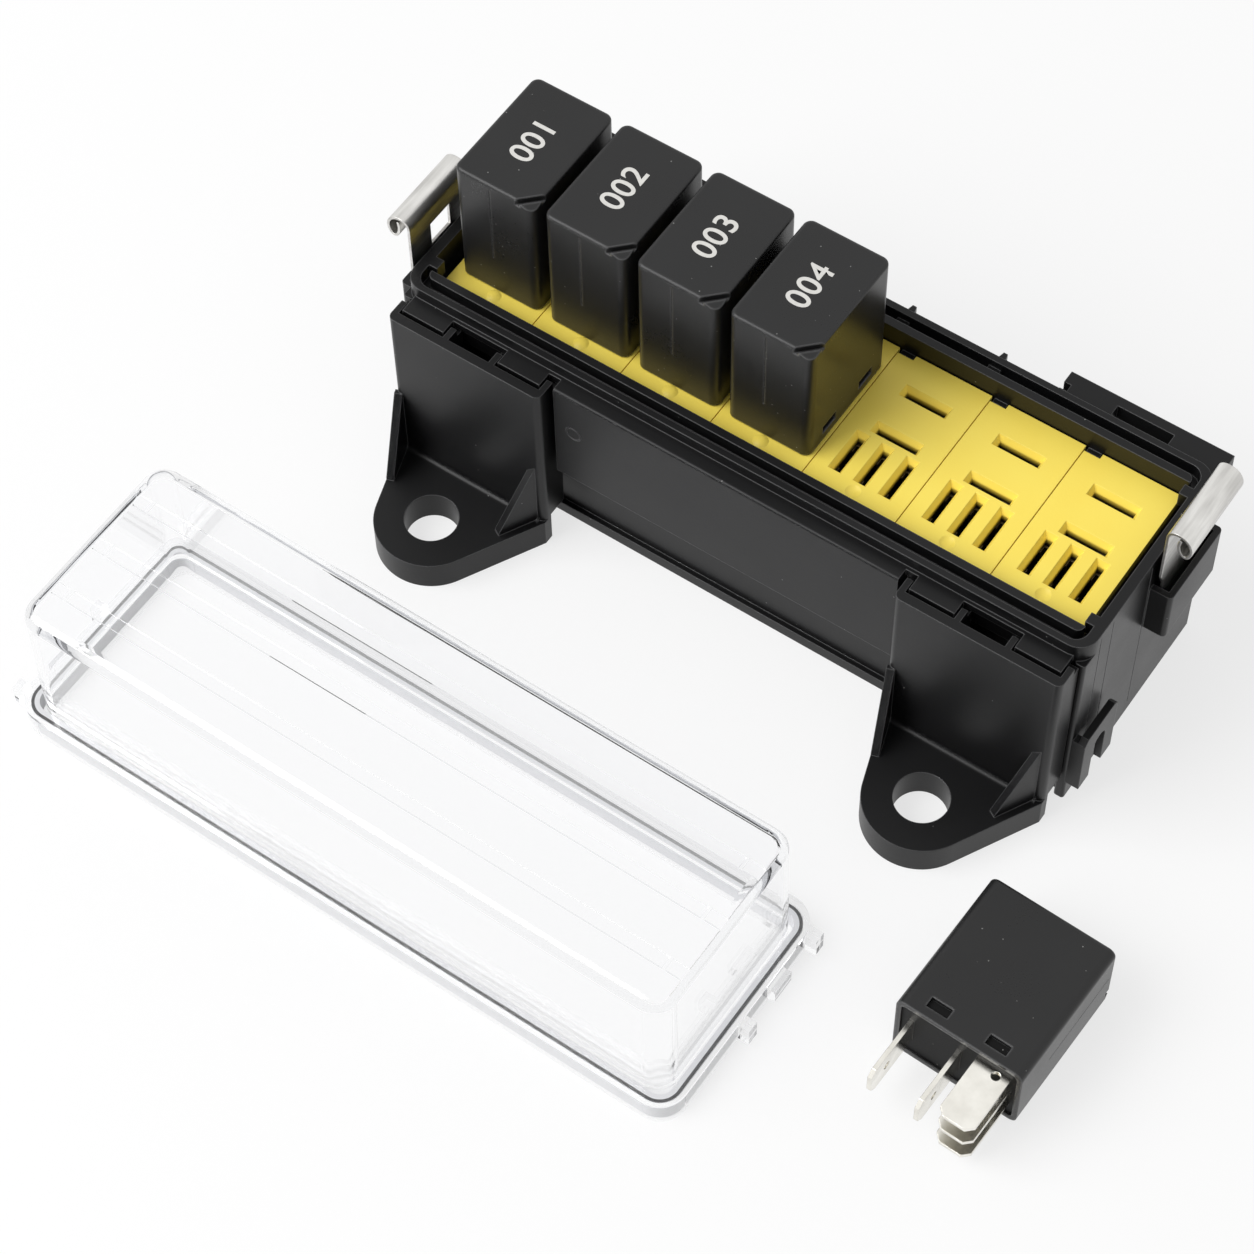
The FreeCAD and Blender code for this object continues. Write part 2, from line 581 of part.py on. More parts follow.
def corner_prism(points):
    """A bar across the front right top corner; its points are distance in from the corner and height."""
    corner = V(RELAY_WIDTH / 2, -RELAY_DEPTH / 2, RELAY_HEIGHT)
    inward = V(-1, 1, 0) / math.sqrt(2)
    sideways = V(1, 1, 0) / math.sqrt(2)
    outline = [corner - sideways * CORNER_BACKING * 2 + inward * s + V(0, 0, z) for s, z in points]
    return prism(outline, sideways * CORNER_BACKING * 4)


def corner_step():
    """What is taken off that corner: a groove, and outside it the top of a small sloping land."""
    low = -CORNER_RIDGE_DROP - CORNER_SLOPE * (CORNER_RIDGE + 1)
    return corner_prism([(-1, 1), (CORNER_STEP, 1), (CORNER_STEP, -CORNER_GROOVE_DEPTH),
                         (CORNER_RIDGE, -CORNER_GROOVE_DEPTH), (CORNER_RIDGE, -CORNER_RIDGE_DROP), (-1, low)])


def relay_case():
    outer = centred(0, 0, RELAY_WIDTH, RELAY_DEPTH, 0, RELAY_HEIGHT)
    outer = outer.makeFillet(RELAY_CORNER_RADIUS, upright_edges(outer))
    top_edges = [e for e in outer.Edges if abs(e.CenterOfMass.z - RELAY_HEIGHT) < 0.01]
    outer = outer.makeFillet(RELAY_EDGE_RADIUS, top_edges)
    inner = centred(0, 0, RELAY_WIDTH - 2 * RELAY_WALL, RELAY_DEPTH - 2 * RELAY_WALL, -1,
                    RELAY_HEIGHT - RELAY_WALL)
    inner = inner.makeFillet(RELAY_CORNER_RADIUS - RELAY_WALL / 2, upright_edges(inner))
    depth = -CORNER_BACKING
    backing = corner_prism([(-1, 1), (CORNER_BACKING, 1), (CORNER_BACKING, depth), (-1, depth)])
    cuts = [inner.cut(backing)]
    for side in (-1, 1):
        y = side * LATCH_WINDOW_SPACING / 2
        z = RELAY_BASE_RECESS + LATCH_WINDOW_RISE
        cuts.append(centred(0, y, RELAY_WIDTH + 2, LATCH_WINDOW_WIDTH, z, z + LATCH_WINDOW_HEIGHT))
    cuts.append(block(SEAM_X - SEAM_WIDTH / 2, SEAM_X + SEAM_WIDTH / 2, -RELAY_DEPTH / 2 - 1,
                      -RELAY_DEPTH / 2 + SEAM_DEPTH, SEAM_Z, RELAY_HEIGHT - 2 * RELAY_EDGE_RADIUS))
    cuts.append(corner_step())
    return outer.cut(cuts)


def relay_base():
    gap = RELAY_WALL + RELAY_BASE_CLEARANCE
    plate = rounded(0, 0, RELAY_WIDTH - 2 * gap, RELAY_DEPTH - 2 * gap, RELAY_BASE_RECESS,
                    RELAY_BASE_RECESS + RELAY_BASE_THICKNESS, RELAY_CORNER_RADIUS - RELAY_WALL / 2)
    bosses = []
    for side in (-1, 1):
        for x in (-1, 1):
            face = x * (RELAY_WIDTH / 2 - gap)
            z = RELAY_BASE_RECESS + LATCH_WINDOW_RISE + RELAY_BASE_CLEARANCE
            y = side * LATCH_WINDOW_SPACING / 2
            half = LATCH_WINDOW_WIDTH / 2 - RELAY_BASE_CLEARANCE
            high = z + LATCH_WINDOW_HEIGHT - 2 * RELAY_BASE_CLEARANCE
            outline = [V(face - x * 0.2, y - half, z), V(face + x * LATCH_BOSS_INSET, y - half, z),
                       V(face + x * 2 * LATCH_BOSS_INSET, y - half, high), V(face - x * 0.2, y - half, high)]
            bosses.append(prism(outline, V(0, 2 * half, 0)))
    cuts = [blade_cut(bx - RELAY_OFFSET_X, by - RELAY_OFFSET_Y, along, BLADE_WIDTH, BLADE_THICKNESS, -1,
                      RELAY_BASE_RECESS + RELAY_BASE_THICKNESS + 1) for bx, by, along in BLADES]
    return joined([plate] + bosses).cut(cuts)


def blade(x, y, along):
    """A flat tab with a chamfered tip and a small hole, near its root or nearer its tip."""
    top = RELAY_BASE_RECESS + RELAY_BASE_THICKNESS + BLADE_ABOVE_BASE
    half = BLADE_WIDTH / 2
    tip = -BLADE_LENGTH
    outline = [V(-half, 0, top), V(-half, 0, tip + BLADE_TIP), V(-half + BLADE_TIP, 0, tip),
               V(half - BLADE_TIP, 0, tip), V(half, 0, tip + BLADE_TIP), V(half, 0, top)]
    shape = prism(outline, V(0, BLADE_THICKNESS, 0))
    shape.translate(V(0, -BLADE_THICKNESS / 2, 0))
    hole_x, hole_z = SIDE_BLADE_HOLE if along == "y" else CROSS_BLADE_HOLE
    shape = shape.cut(Part.makeCylinder(BLADE_HOLE_RADIUS, 2 * BLADE_THICKNESS,
                                        V(hole_x, -BLADE_THICKNESS, hole_z), ACROSS))
    if along == "y":
        shape.rotate(V(0, 0, 0), UP, 90)
    shape.translate(V(x, y, 0))
    return shape


def relay_blades():
    return Part.makeCompound([blade(bx - RELAY_OFFSET_X, by - RELAY_OFFSET_Y, along)
                              for bx, by, along in BLADES])


def plugged(shape, index):
    copy = shape.copy()
    copy.translate(V(SOCKET_XS[index] + RELAY_OFFSET_X, RELAY_OFFSET_Y, DECK_HEIGHT + RELAY_STANDOFF))
    return copy


def lying(shape):
    """Lay a relay on its wide side with its blades towards the front."""
    copy = shape.copy()
    copy.translate(V(0, 0, -RELAY_HEIGHT / 2))
    copy.rotate(V(0, 0, 0), ACROSS, 90)
    copy.rotate(V(0, 0, 0), UP, 90)
    copy.rotate(V(0, 0, 0), UP, LOOSE_TURN)
    copy.translate(V(LOOSE_CENTRE_X, LOOSE_CENTRE_Y, RELAY_WIDTH / 2))
    return copy


# Mounting feet, made about the middle of their own width

def foot_outline():
    """Plan of the foot plate: a round end joined by straight flanks to the full width at the wall."""
    centre = V(FOOT_HOLE_SHIFT, HOLE_Y, 0)
    wall = -FOOT_FRONT_Y + FOOT_WALL
    flank_start = -FOOT_FRONT_Y
    ends = []
    for side in (-1, 1):
        corner = V(side * FOOT_WIDTH / 2, flank_start, 0)
        away = corner - centre
        spread = math.acos(FOOT_END_RADIUS / away.Length)
        angle = math.atan2(away.y, away.x) + (spread if side < 0 else -spread)
        ends.append(centre + V(FOOT_END_RADIUS * math.cos(angle), FOOT_END_RADIUS * math.sin(angle), 0))
    tip = centre + V(0, -FOOT_END_RADIUS, 0)
    half = FOOT_WIDTH / 2
    edges = [Part.makeLine(V(-half, wall, 0), V(-half, flank_start, 0)),
             Part.makeLine(V(-half, flank_start, 0), ends[0]),
             Part.Arc(ends[0], tip, ends[1]).toShape(),
             Part.makeLine(ends[1], V(half, flank_start, 0)),
             Part.makeLine(V(half, flank_start, 0), V(half, wall, 0)),
             Part.makeLine(V(half, wall, 0), V(-half, wall, 0))]
    return Part.Face(Part.Wire(edges)), ends


def gusset(start, end, inset):
    """A triangular fin that stands on the foot plate along one flank."""
    run = end - start
    run.normalize()
    inward = V(-run.y, run.x, 0) if run.x > 0 else V(run.y, -run.x, 0)
    a = start + inward * inset
    outline = [a - run * 0.2 + V(0, 0, FOOT_PLATE - 0.2), a + run * GUSSET_REACH + V(0, 0, FOOT_PLATE - 0.2),
               a + run * GUSSET_REACH + V(0, 0, FOOT_PLATE + GUSSET_LOW_END),
               a + run * GUSSET_TOP_REACH + V(0, 0, FOOT_PLATE + GUSSET_HEIGHT),
               a - run * 0.2 + V(0, 0, FOOT_PLATE + GUSSET_HEIGHT)]
    return prism(outline, inward * GUSSET_THICKNESS)


def cove():
    """The hollow round where the wall of a foot meets its plate."""
    half = FOOT_WIDTH / 2 - FOOT_CORNER_RADIUS
    front = -FOOT_FRONT_Y - FOOT_COVE
    top = FOOT_PLATE + FOOT_COVE
    strip = block(-half, half, front, -FOOT_FRONT_Y + 0.2, FOOT_PLATE - 0.2, top)
    return strip.cut(Part.makeCylinder(FOOT_COVE, 2 * half + 2, V(-half - 1, front, top), ALONG))


def foot(centre_x):
    face, ends = foot_outline()
    plate = face.extrude(V(0, 0, FOOT_PLATE))
    half = FOOT_WIDTH / 2
    wall = block(-half, half, -FOOT_FRONT_Y, -FOOT_BACK_Y, 0, FOOT_TOP)
    corners = [e for e in upright_edges(wall) if e.CenterOfMass.y < -FOOT_FRONT_Y + 0.01]
    wall = wall.makeFillet(FOOT_CORNER_RADIUS, corners)
    pieces = [plate, wall, cove()]
    flange_front = -FOOT_BACK_Y - JOIN
    flange_back = -FOOT_BACK_Y + FOOT_FLANGE_TOP_DEPTH
    lip_front = RAIL_FACE_Y - RAIL_HEAD_THICKNESS - HOOK_CLEARANCE
    lip_back = lip_front - HOOK_LIP
    for side in (-1, 1):
        outer_x = side * half
        inner_x = side * (RAIL_SPACING / 2 - RAIL_HEAD_WIDTH / 2 - HOOK_CLEARANCE)
        flange_in = side * (RAIL_SPACING / 2 + RAIL_HEAD_WIDTH / 2 + HOOK_CLEARANCE)
        flanges = ((flange_in, outer_x, -side), (inner_x, inner_x - side * FOOT_FLANGE, side))
        for edge, thick_to, reach in flanges:
            x0, x1 = sorted((edge, thick_to))
            pieces.append(block(x0, x1, flange_front, flange_back, RAIL_BOTTOM, FOOT_TOP))
            pieces.append(block(x0, x1, flange_front, -lip_back, RAIL_BOTTOM, HOOK_TOP))
            x0, x1 = sorted((edge, edge + reach * HOOK_LIP_REACH))
            pieces.append(block(x0, x1, -lip_front, -lip_back, RAIL_BOTTOM, HOOK_TOP))
    left_corner = V(-half, -FOOT_FRONT_Y, 0)
    right_corner = V(half, -FOOT_FRONT_Y, 0)
    pieces.append(gusset(left_corner, ends[0], 0))
    pieces.append(gusset(right_corner, ends[1], GUSSET_INSET))
    body = joined(pieces)
    hole = Part.makeCylinder(FOOT_HOLE_RADIUS, FOOT_PLATE + 2, V(FOOT_HOLE_SHIFT, HOLE_Y, -1))
    body = body.cut(hole)
    body.translate(V(centre_x, 0, 0))
    return body


# Cover clips

def curl():
    """Side view of the curled top of a clip: a strip of even thickness along a smooth line."""
    start = V(CLIP_X, CLIP_Y - CLIP_WIDTH / 2, CLIP_BEND_Z)
    line = Part.BSplineCurve()
    line.interpolate([start + V(dx, 0, dz) for dx, dz in ((0, 0), (0, 0.6)) + CLIP_CURL])
    inner, outer = [], []
    for step in range(CLIP_CURL_STEPS + 1):
        place = line.LastParameter * step / CLIP_CURL_STEPS
        point = line.value(place)
        along = UP if step == 0 else line.tangent(place)[0]
        across = V(along.z, 0, -along.x) * (CLIP_SHEET / 2)
        inner.append(point + across)
        outer.append(point - across)
    sides = []
    for points in (inner, outer):
        side = Part.BSplineCurve()
        side.interpolate(points)
        sides.append(side.toShape())
    ends = [Part.makeLine(inner[0], outer[0]), Part.makeLine(inner[-1], outer[-1])]
    return Part.Face(Part.Wire(Part.__sortEdges__(sides + ends)))


def clip():
    """A sheet-steel spring: a straight leaf with a window and a narrower foot, rolled into a grip on top."""
    x0 = CLIP_X - CLIP_SHEET / 2
    shoulder = POCKET_TOP + CLIP_SHOULDER_GAP
    wide = shoulder + CLIP_SHOULDER_RISE
    half = CLIP_WIDTH / 2
    foot_half = CLIP_FOOT_WIDTH / 2
    outline = [V(x0, CLIP_Y - foot_half, CLIP_FOOT_Z), V(x0, CLIP_Y + foot_half, CLIP_FOOT_Z),
               V(x0, CLIP_Y + foot_half, shoulder), V(x0, CLIP_Y + half, wide),
               V(x0, CLIP_Y + half, CLIP_BEND_Z), V(x0, CLIP_Y - half, CLIP_BEND_Z),
               V(x0, CLIP_Y - half, wide), V(x0, CLIP_Y - foot_half, shoulder)]
    leaf = prism(outline, V(CLIP_SHEET, 0, 0))
    window = centred(CLIP_X, CLIP_Y, 2 * CLIP_SHEET, CLIP_WINDOW_WIDTH,
                     CLIP_WINDOW_Z - CLIP_WINDOW_HEIGHT / 2, CLIP_WINDOW_Z + CLIP_WINDOW_HEIGHT / 2)
    return joined([leaf.cut(window), curl().extrude(V(0, CLIP_WIDTH, 0))])


# Clear cover and seal, made about the middle of the cover

def cover_shell():
    x_top = COVER_X - COVER_SKIRT - SEAL_GROOVE
    y_top = COVER_Y - COVER_SKIRT - SEAL_GROOVE
    outer = draft_box(x_top, y_top, 0, COVER_HEIGHT, COVER_DRAFT, COVER_CORNER_RADIUS)
    top_edges = [e for e in outer.Edges if abs(e.CenterOfMass.z - COVER_HEIGHT) < 0.01]
    outer = outer.makeFillet(COVER_TOP_RADIUS, top_edges)
    under = COVER_HEIGHT - COVER_WALL
    inner = draft_box(x_top - COVER_WALL, y_top - COVER_WALL, -1, under, COVER_DRAFT,
                      COVER_CORNER_RADIUS - COVER_WALL)
    under_edges = [e for e in inner.Edges if abs(e.CenterOfMass.z - under) < 0.01]
    inner = inner.makeFillet(COVER_TOP_RADIUS - COVER_WALL, under_edges)
    skirt = rounded(0, 0, 2 * COVER_X, 2 * COVER_Y, 0, COVER_SKIRT_HEIGHT, COVER_CORNER_RADIUS + COVER_SKIRT)
    channel = rounded(0, 0, 2 * (COVER_X - COVER_SKIRT), 2 * (COVER_Y - COVER_SKIRT), -1,
                      COVER_SKIRT_HEIGHT - COVER_SKIRT_TOP, COVER_CORNER_RADIUS)
    return joined([outer, skirt.cut(channel)]).cut(inner.cut(cover_ribs()))


def cover_ribs():
    """Three low ribs under the top, each with a short break near its ends."""
    under = COVER_HEIGHT - COVER_WALL
    ribs = []
    for y in (-COVER_RIB_PITCH, 0, COVER_RIB_PITCH):
        rib = centred(0, y, 2 * COVER_X, COVER_RIB_WIDTH, under - COVER_RIB_HEIGHT, under + 1)
        ribs.append(rib.cut([centred(end * COVER_RIB_BREAK, y, COVER_RIB_BREAK_WIDTH, COVER_RIB_WIDTH + 1,
                                     under - 1, under + 2) for end in (-1, 1)]))
    return ribs


def draft_box(half_x, half_y, z0, z1, draft, radius):
    """A rounded box whose sides lean in by draft from bottom to top."""
    wires = []
    for z, lean in ((z0, 0), (z1, draft)):
        flat = rounded(0, 0, 2 * (half_x - lean), 2 * (half_y - lean), 0, 1, radius)
        base = [f for f in flat.Faces if f.normalAt(0, 0).z < -0.9][0]
        wire = base.OuterWire.copy()
        wire.translate(V(0, 0, z))
        wires.append(wire)
    return Part.makeLoft(wires, True, True)


def cover_lugs(side):
    """Two guide lugs either side of the clip's place, with the catch between them."""
    y = side * CLIP_Y
    x0 = COVER_X - JOIN
    pieces = []
    for step in (-1, 1):
        middle = y + step * (CLIP_WIDTH / 2 + LUG_CLEARANCE + LUG_WIDTH / 2)
        pieces.append(centred(side * (x0 + COVER_X + LUG_REACH) / 2, middle, LUG_REACH + JOIN, LUG_WIDTH,
                              LUG_BOTTOM, LUG_BOTTOM + LUG_HEIGHT))
    low = y - CATCH_WIDTH / 2
    top = CATCH_BOTTOM + CATCH_HEIGHT
    outline = [V(side * x0, low, CATCH_BOTTOM), V(side * (COVER_X + CATCH_REACH), low, CATCH_BOTTOM + 1),
               V(side * (COVER_X + CATCH_REACH), low, top), V(side * x0, low, top)]
    pieces.append(prism(outline, V(0, CATCH_WIDTH, 0)))
    return pieces


def beside(shape):
    shape.rotate(V(0, 0, 0), UP, COVER_TURN)
    shape.translate(V(COVER_CENTRE_X, COVER_CENTRE_Y, 0))
    return shape


def cover():
    return beside(joined([cover_shell()] + cover_lugs(1) + cover_lugs(-1)))


def seal():
    outer_gap = COVER_SKIRT + SEAL_SIDE_CLEARANCE
    inner_gap = COVER_SKIRT + SEAL_GROOVE - SEAL_SIDE_CLEARANCE
    ring = rounded(0, 0, 2 * (COVER_X - outer_gap), 2 * (COVER_Y - outer_gap), SEAL_BOTTOM,
                   SEAL_BOTTOM + SEAL_HEIGHT, COVER_CORNER_RADIUS - SEAL_SIDE_CLEARANCE)
    hole = rounded(0, 0, 2 * (COVER_X - inner_gap), 2 * (COVER_Y - inner_gap), SEAL_BOTTOM - 1,
                   SEAL_BOTTOM + SEAL_HEIGHT + 1, COVER_CORNER_RADIUS - SEAL_GROOVE + SEAL_SIDE_CLEARANCE)
    return beside(ring.cut(hole))


def save(name, shape):
    copy = shape.copy()
    copy.translate(-ORIGIN)
    copy.exportStep(os.path.join("parts", name + ".step"))
    print(name, "solids", len(copy.Solids), "valid", copy.isValid(), "volume", round(copy.Volume, 1))


def main():
    os.makedirs("parts", exist_ok=True)
    save("housing", housing())
    for index in range(SOCKET_COUNT):
        save("socket_%d" % (index + 1), socket(index))
        save("contacts_%d" % (index + 1), contacts(index))
    pieces = (("case", relay_case()), ("base", relay_base()), ("blades", relay_blades()))
    for index in range(PLUGGED_RELAYS):
        for name, shape in pieces:
            save("relay_%d_%s" % (index + 1, name), plugged(shape, index))
    for name, shape in pieces:
        save("loose_relay_%s" % name, lying(shape))
    for name, centre_x in zip(("left", "right"), FOOT_CENTRES):
        save("mounting_foot_%s" % name, foot(centre_x))
    save("cover_clip_right", clip())
    save("cover_clip_left", turned_end(clip()))
    save("clear_cover", cover())
    save("cover_seal", seal())


main()
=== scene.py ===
# %% Frame
import math

import bpy
from mathutils import Matrix, Vector


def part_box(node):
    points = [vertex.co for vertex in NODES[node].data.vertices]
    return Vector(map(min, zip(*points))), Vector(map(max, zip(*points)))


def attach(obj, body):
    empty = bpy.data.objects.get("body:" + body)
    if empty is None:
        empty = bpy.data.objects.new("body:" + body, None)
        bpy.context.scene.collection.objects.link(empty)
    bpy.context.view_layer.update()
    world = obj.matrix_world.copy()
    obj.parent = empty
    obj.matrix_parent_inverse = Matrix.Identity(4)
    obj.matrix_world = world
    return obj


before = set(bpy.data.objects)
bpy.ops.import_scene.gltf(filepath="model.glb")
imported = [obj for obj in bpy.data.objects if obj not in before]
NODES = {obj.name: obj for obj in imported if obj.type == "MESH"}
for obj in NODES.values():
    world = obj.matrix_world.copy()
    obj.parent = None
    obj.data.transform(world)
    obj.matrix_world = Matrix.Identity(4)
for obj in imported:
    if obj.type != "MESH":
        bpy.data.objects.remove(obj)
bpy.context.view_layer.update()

MM = 0.001

# %% [markdown]
# The relay box comes in as solids that already have their shapes: a black moulded housing with
# seven yellow sockets, relays, spring clips, slide-on feet and a clear cover. What is left to do
# here is what a product photographer sees: how each plastic and metal takes the light, the print
# on the relays, the white table and the lamp. Each solid could be dressed by hand, but there are
# 36 of them, so the groups below pick the solids for each finish by how their names begin and end.

# %% Which solid gets which finish
def named(*starts, end=""):
    return [NODES[name] for name in sorted(NODES) if name.startswith(starts) and name.endswith(end)]


housing_parts = named("housing", "mounting_foot")
socket_parts = named("socket")
relay_shells = named("relay", "loose_relay", end="case")
relay_bases = named("relay", "loose_relay", end="base")
blade_parts = named("relay", "loose_relay", end="blades")
contact_parts = named("contacts")
clip_parts = named("cover_clip")
print("black", len(housing_parts), "yellow", len(socket_parts), "relay shells", len(relay_shells))

# %% [markdown]
# Shader maths reads best as plain sums. This small class wraps an output socket of a shader node,
# so that 1 - mask or dust * 0.4 adds the Math nodes it needs. Colours don't go through it, because
# a Math node turns a colour grey: they go through the Mix nodes of the next cell.

# %% A shader value that can be used in sums
class Wire:
    def __init__(self, socket):
        self.socket = socket

    def sum(self, operation, first, second, clamp=False):
        node = self.socket.id_data.nodes.new("ShaderNodeMath")
        node.operation = operation
        node.use_clamp = clamp
        for place, value in zip(node.inputs, (first, second)):
            plug(value, place)
        return Wire(node.outputs[0])

    def __add__(self, other):
        return self.sum("ADD", self, other)

    def __sub__(self, other):
        return self.sum("SUBTRACT", self, other)

    def __rsub__(self, other):
        return self.sum("SUBTRACT", other, self)

    def __mul__(self, other):
        return self.sum("MULTIPLY", self, other)

    def __gt__(self, limit):
        return self.sum("GREATER_THAN", self, limit)

    def __lt__(self, limit):
        return self.sum("LESS_THAN", self, limit)

    def clamped(self):
        return self.sum("ADD", self, 0.0, clamp=True)

    __radd__ = __add__
    __rmul__ = __mul__


def plug(value, socket):
    """Links a wire to a socket, or sets the socket to a number, colour or vector."""
    if isinstance(value, Wire):
        socket.id_data.links.new(value.socket, socket)
    elif isinstance(value, (tuple, list)) and len(value) == 3 and socket.type == "RGBA":
        socket.default_value = (*value, 1.0)
    else:
        socket.default_value = value


# %% [markdown]
# A finish is a material whose nodes are added one at a time. One method adds any node: its kind,
# the settings that have to be there before anything is linked, and then what its sockets get. The
# short methods on top of it stand for what nearly every finish here needs: where a point is, noise
# at a size in millimetres, a colour between two others, and the rounded normal of a moulded edge.
# The same edges could be rounded in the mesh, but the solids already have their larger rounds, and
# the finest ones only show as a thin line of light, which a bent normal draws just as well.

# %% A finish
EDGE_GAIN = 12.0
BEVEL_SAMPLES = 6


class Finish:
    def __init__(self, name, tree=None):
        if tree is None:
            self.material = bpy.data.materials.new(name)
            self.material.use_nodes = True
            tree = self.material.node_tree
        self.tree = tree
        self.tree.nodes.clear()

    def node(self, kind, settings=None, sockets=None, out=0):
        node = self.tree.nodes.new(kind)
        for key, value in (settings or {}).items():
            setattr(node, key, value)
        for key, value in (sockets or {}).items():
            plug(value, node.inputs[key])
        return Wire(node.outputs[out])

    def place(self):
        return self.node("ShaderNodeTexCoord", out="Object")

    def facing(self):
        return self.node("ShaderNodeNewGeometry", out="Normal")

    def upward(self, vector):
        """How far up a vector reaches."""
        return self.node("ShaderNodeSeparateXYZ", sockets={0: vector}, out="Z")

    def vector(self, operation, *values, out="Vector"):
        sockets = dict(enumerate(values))
        return self.node("ShaderNodeVectorMath", {"operation": operation}, sockets, out)

    def noise(self, size_mm, detail=2.0, stretch=None):
        """Cloudy noise whose patches are about size_mm across, from 0 to 1."""
        point = self.place()
        if stretch:
            point = self.vector("MULTIPLY", point, stretch)
        sockets = {"Vector": point, "Scale": 1 / (size_mm * MM), "Detail": detail}
        return self.node("ShaderNodeTexNoise", sockets=sockets)

    def colour(self, amount, low, high):
        """A colour between two others. A Mix node has its colours at sockets 6 and 7, and at 2."""
        return self.node("ShaderNodeMix", {"data_type": "RGBA"}, {0: amount, 6: low, 7: high}, out=2)

    def specks(self, spacing_mm, radius_mm, share):
        """Small round specks: one in some of the cells that are spacing_mm apart."""
        sockets = {"Vector": self.place(), "Scale": 1 / (spacing_mm * MM), "Randomness": 1.0}
        near = self.node("ShaderNodeTexVoronoi", sockets=sockets, out="Distance")
        cell = self.node("ShaderNodeTexVoronoi", sockets=sockets, out="Color")
        pick = self.node("ShaderNodeSeparateColor", sockets={0: cell})
        return (near < radius_mm / spacing_mm) * (pick < share)

    def rounding(self, radius_mm):
        return self.node("ShaderNodeBevel", {"samples": BEVEL_SAMPLES}, {"Radius": radius_mm * MM})

    def edge(self, radius_mm):
        """1 on edges and 0 on flat faces, from how far the rounded normal leans over."""
        agreement = self.vector("DOT_PRODUCT", self.rounding(radius_mm), self.facing(), out="Value")
        return ((1 - agreement) * EDGE_GAIN).clamped()

    def bump(self, height, depth_mm, normal):
        sockets = {"Height": height, "Strength": 1.0, "Distance": depth_mm * MM, "Normal": normal}
        return self.node("ShaderNodeBump", sockets=sockets)

    def ray(self, kind):
        return self.node("ShaderNodeLightPath", out="Is %s Ray" % kind)

    def seen(self):
        """1 to the camera and in anything glossy or clear, and 0 to light that falls on things."""
        return (self.ray("Camera") + self.ray("Glossy") + self.ray("Transmission")).clamped()

    def shade(self, **sockets):
        """The closing shader, with its socket names written with underscores."""
        spaced = {key.replace("_", " "): value for key, value in sockets.items()}
        return self.node("ShaderNodeBsdfPrincipled", sockets=spaced)

    def finish(self, shader):
        plug(shader, self.tree.nodes.new("ShaderNodeOutputMaterial").inputs["Surface"])
        return self.material


def dress(objects, material):
    for thing in objects:
        thing.data.materials.clear()
        thing.data.materials.append(material)
    print(material.name, "on", len(objects), "solids")


# %% [markdown]
# The housing and feet are injection-moulded in black nylon. A flat black would be a hole in the
# picture: nearly all that one sees of such plastic is gloss, a broad soft sheen on the flat walls
# and thin light lines where the edges are rounded, over a very fine skin from the mould. So the
# base colour stays dark, the roughness drifts a little from place to place, and the edges get a
# rounded normal and a paler colour, which is a painted highlight for those thin light lines.
# A few specks of dust lie on it too.

# %% Black moulded nylon
CLOUD_MM = 14.0
SKIN_MM = 0.35
SKIN_DEPTH_MM = 0.006
PALER = 1.35
# painted highlight: the paler colour that is mixed in along rounded edges
EDGE_HIGHLIGHT_COLOUR = (0.11, 0.11, 0.112)
DUST_COLOUR = (0.35, 0.35, 0.34)
DUST_COVER = 0.6
DUST_SPACING_MM = 1.2
DUST_RADIUS_MM = 0.11


def moulded_black(name, tone, roughness, gloss, edge_mm, dust_share):
    look = Finish(name)
    cloud = look.noise(CLOUD_MM, 3.0)
    skin = look.noise(SKIN_MM, 1.0)
    edge = look.edge(edge_mm)
    dust = look.specks(DUST_SPACING_MM, DUST_RADIUS_MM, dust_share)
    body = look.colour(cloud, tone, [part * PALER for part in tone])
    # painted highlight: the edges are mixed towards a paler colour, more where the cloud is paler
    edge_highlighted = look.colour(edge * (cloud * 0.5 + 0.5), body, EDGE_HIGHLIGHT_COLOUR)
    dusty = look.colour(dust * DUST_COVER, edge_highlighted, DUST_COLOUR)
    rough = cloud * 0.12 + skin * 0.06 + (roughness - 0.09)
    normal = look.bump(skin, SKIN_DEPTH_MM, look.rounding(edge_mm))
    return look.finish(look.shade(Base_Color=dusty, Roughness=rough, Normal=normal,
                                  Specular_IOR_Level=gloss))


dress(housing_parts, moulded_black("black_nylon", tone=(0.0035, 0.0035, 0.0038), roughness=0.36,
                                   gloss=0.26, edge_mm=0.25, dust_share=0.04))

# %% [markdown]
# The relay shells are a harder black plastic, a shade greyer and glossier, so that they mirror the
# yellow sockets beside them. They pick up more dust than the housing, and their edges are rounder.
# The base plates sit back in the shells and are duller, so they stay darker. Both are the same
# kind of moulding as the housing, so the same function makes them with other numbers.

# %% Relay shells
dress(relay_shells, moulded_black("relay_shell", tone=(0.010, 0.010, 0.0102), roughness=0.3,
                                  gloss=0.36, edge_mm=0.5, dust_share=0.16))
dress(relay_bases, moulded_black("relay_base_black", tone=(0.003, 0.003, 0.003), roughness=0.5,
                                 gloss=0.12, edge_mm=0.2, dust_share=0.1))

# %% [markdown]
# The sockets are a warm yellow plastic with a satin face. Pigment in such plastic is never quite
# even, so two yellows that are close to each other are mixed in soft patches. The lips of the slots
# get a painted highlight: a paler yellow where they are rounded. Hardly any light comes back out of
# the narrow slots, less than the renderer finds in them. So their walls darken from a millimetre
# below the deck, which lies 39.5 mm above the table, and are nearly black two and a half below it.

# %% Yellow sockets
DECK = 39.5 * MM
DARK_FROM = 0.98 * MM
DARK_ALL = 2.38 * MM
SOCKET_EDGE_MM = 0.15


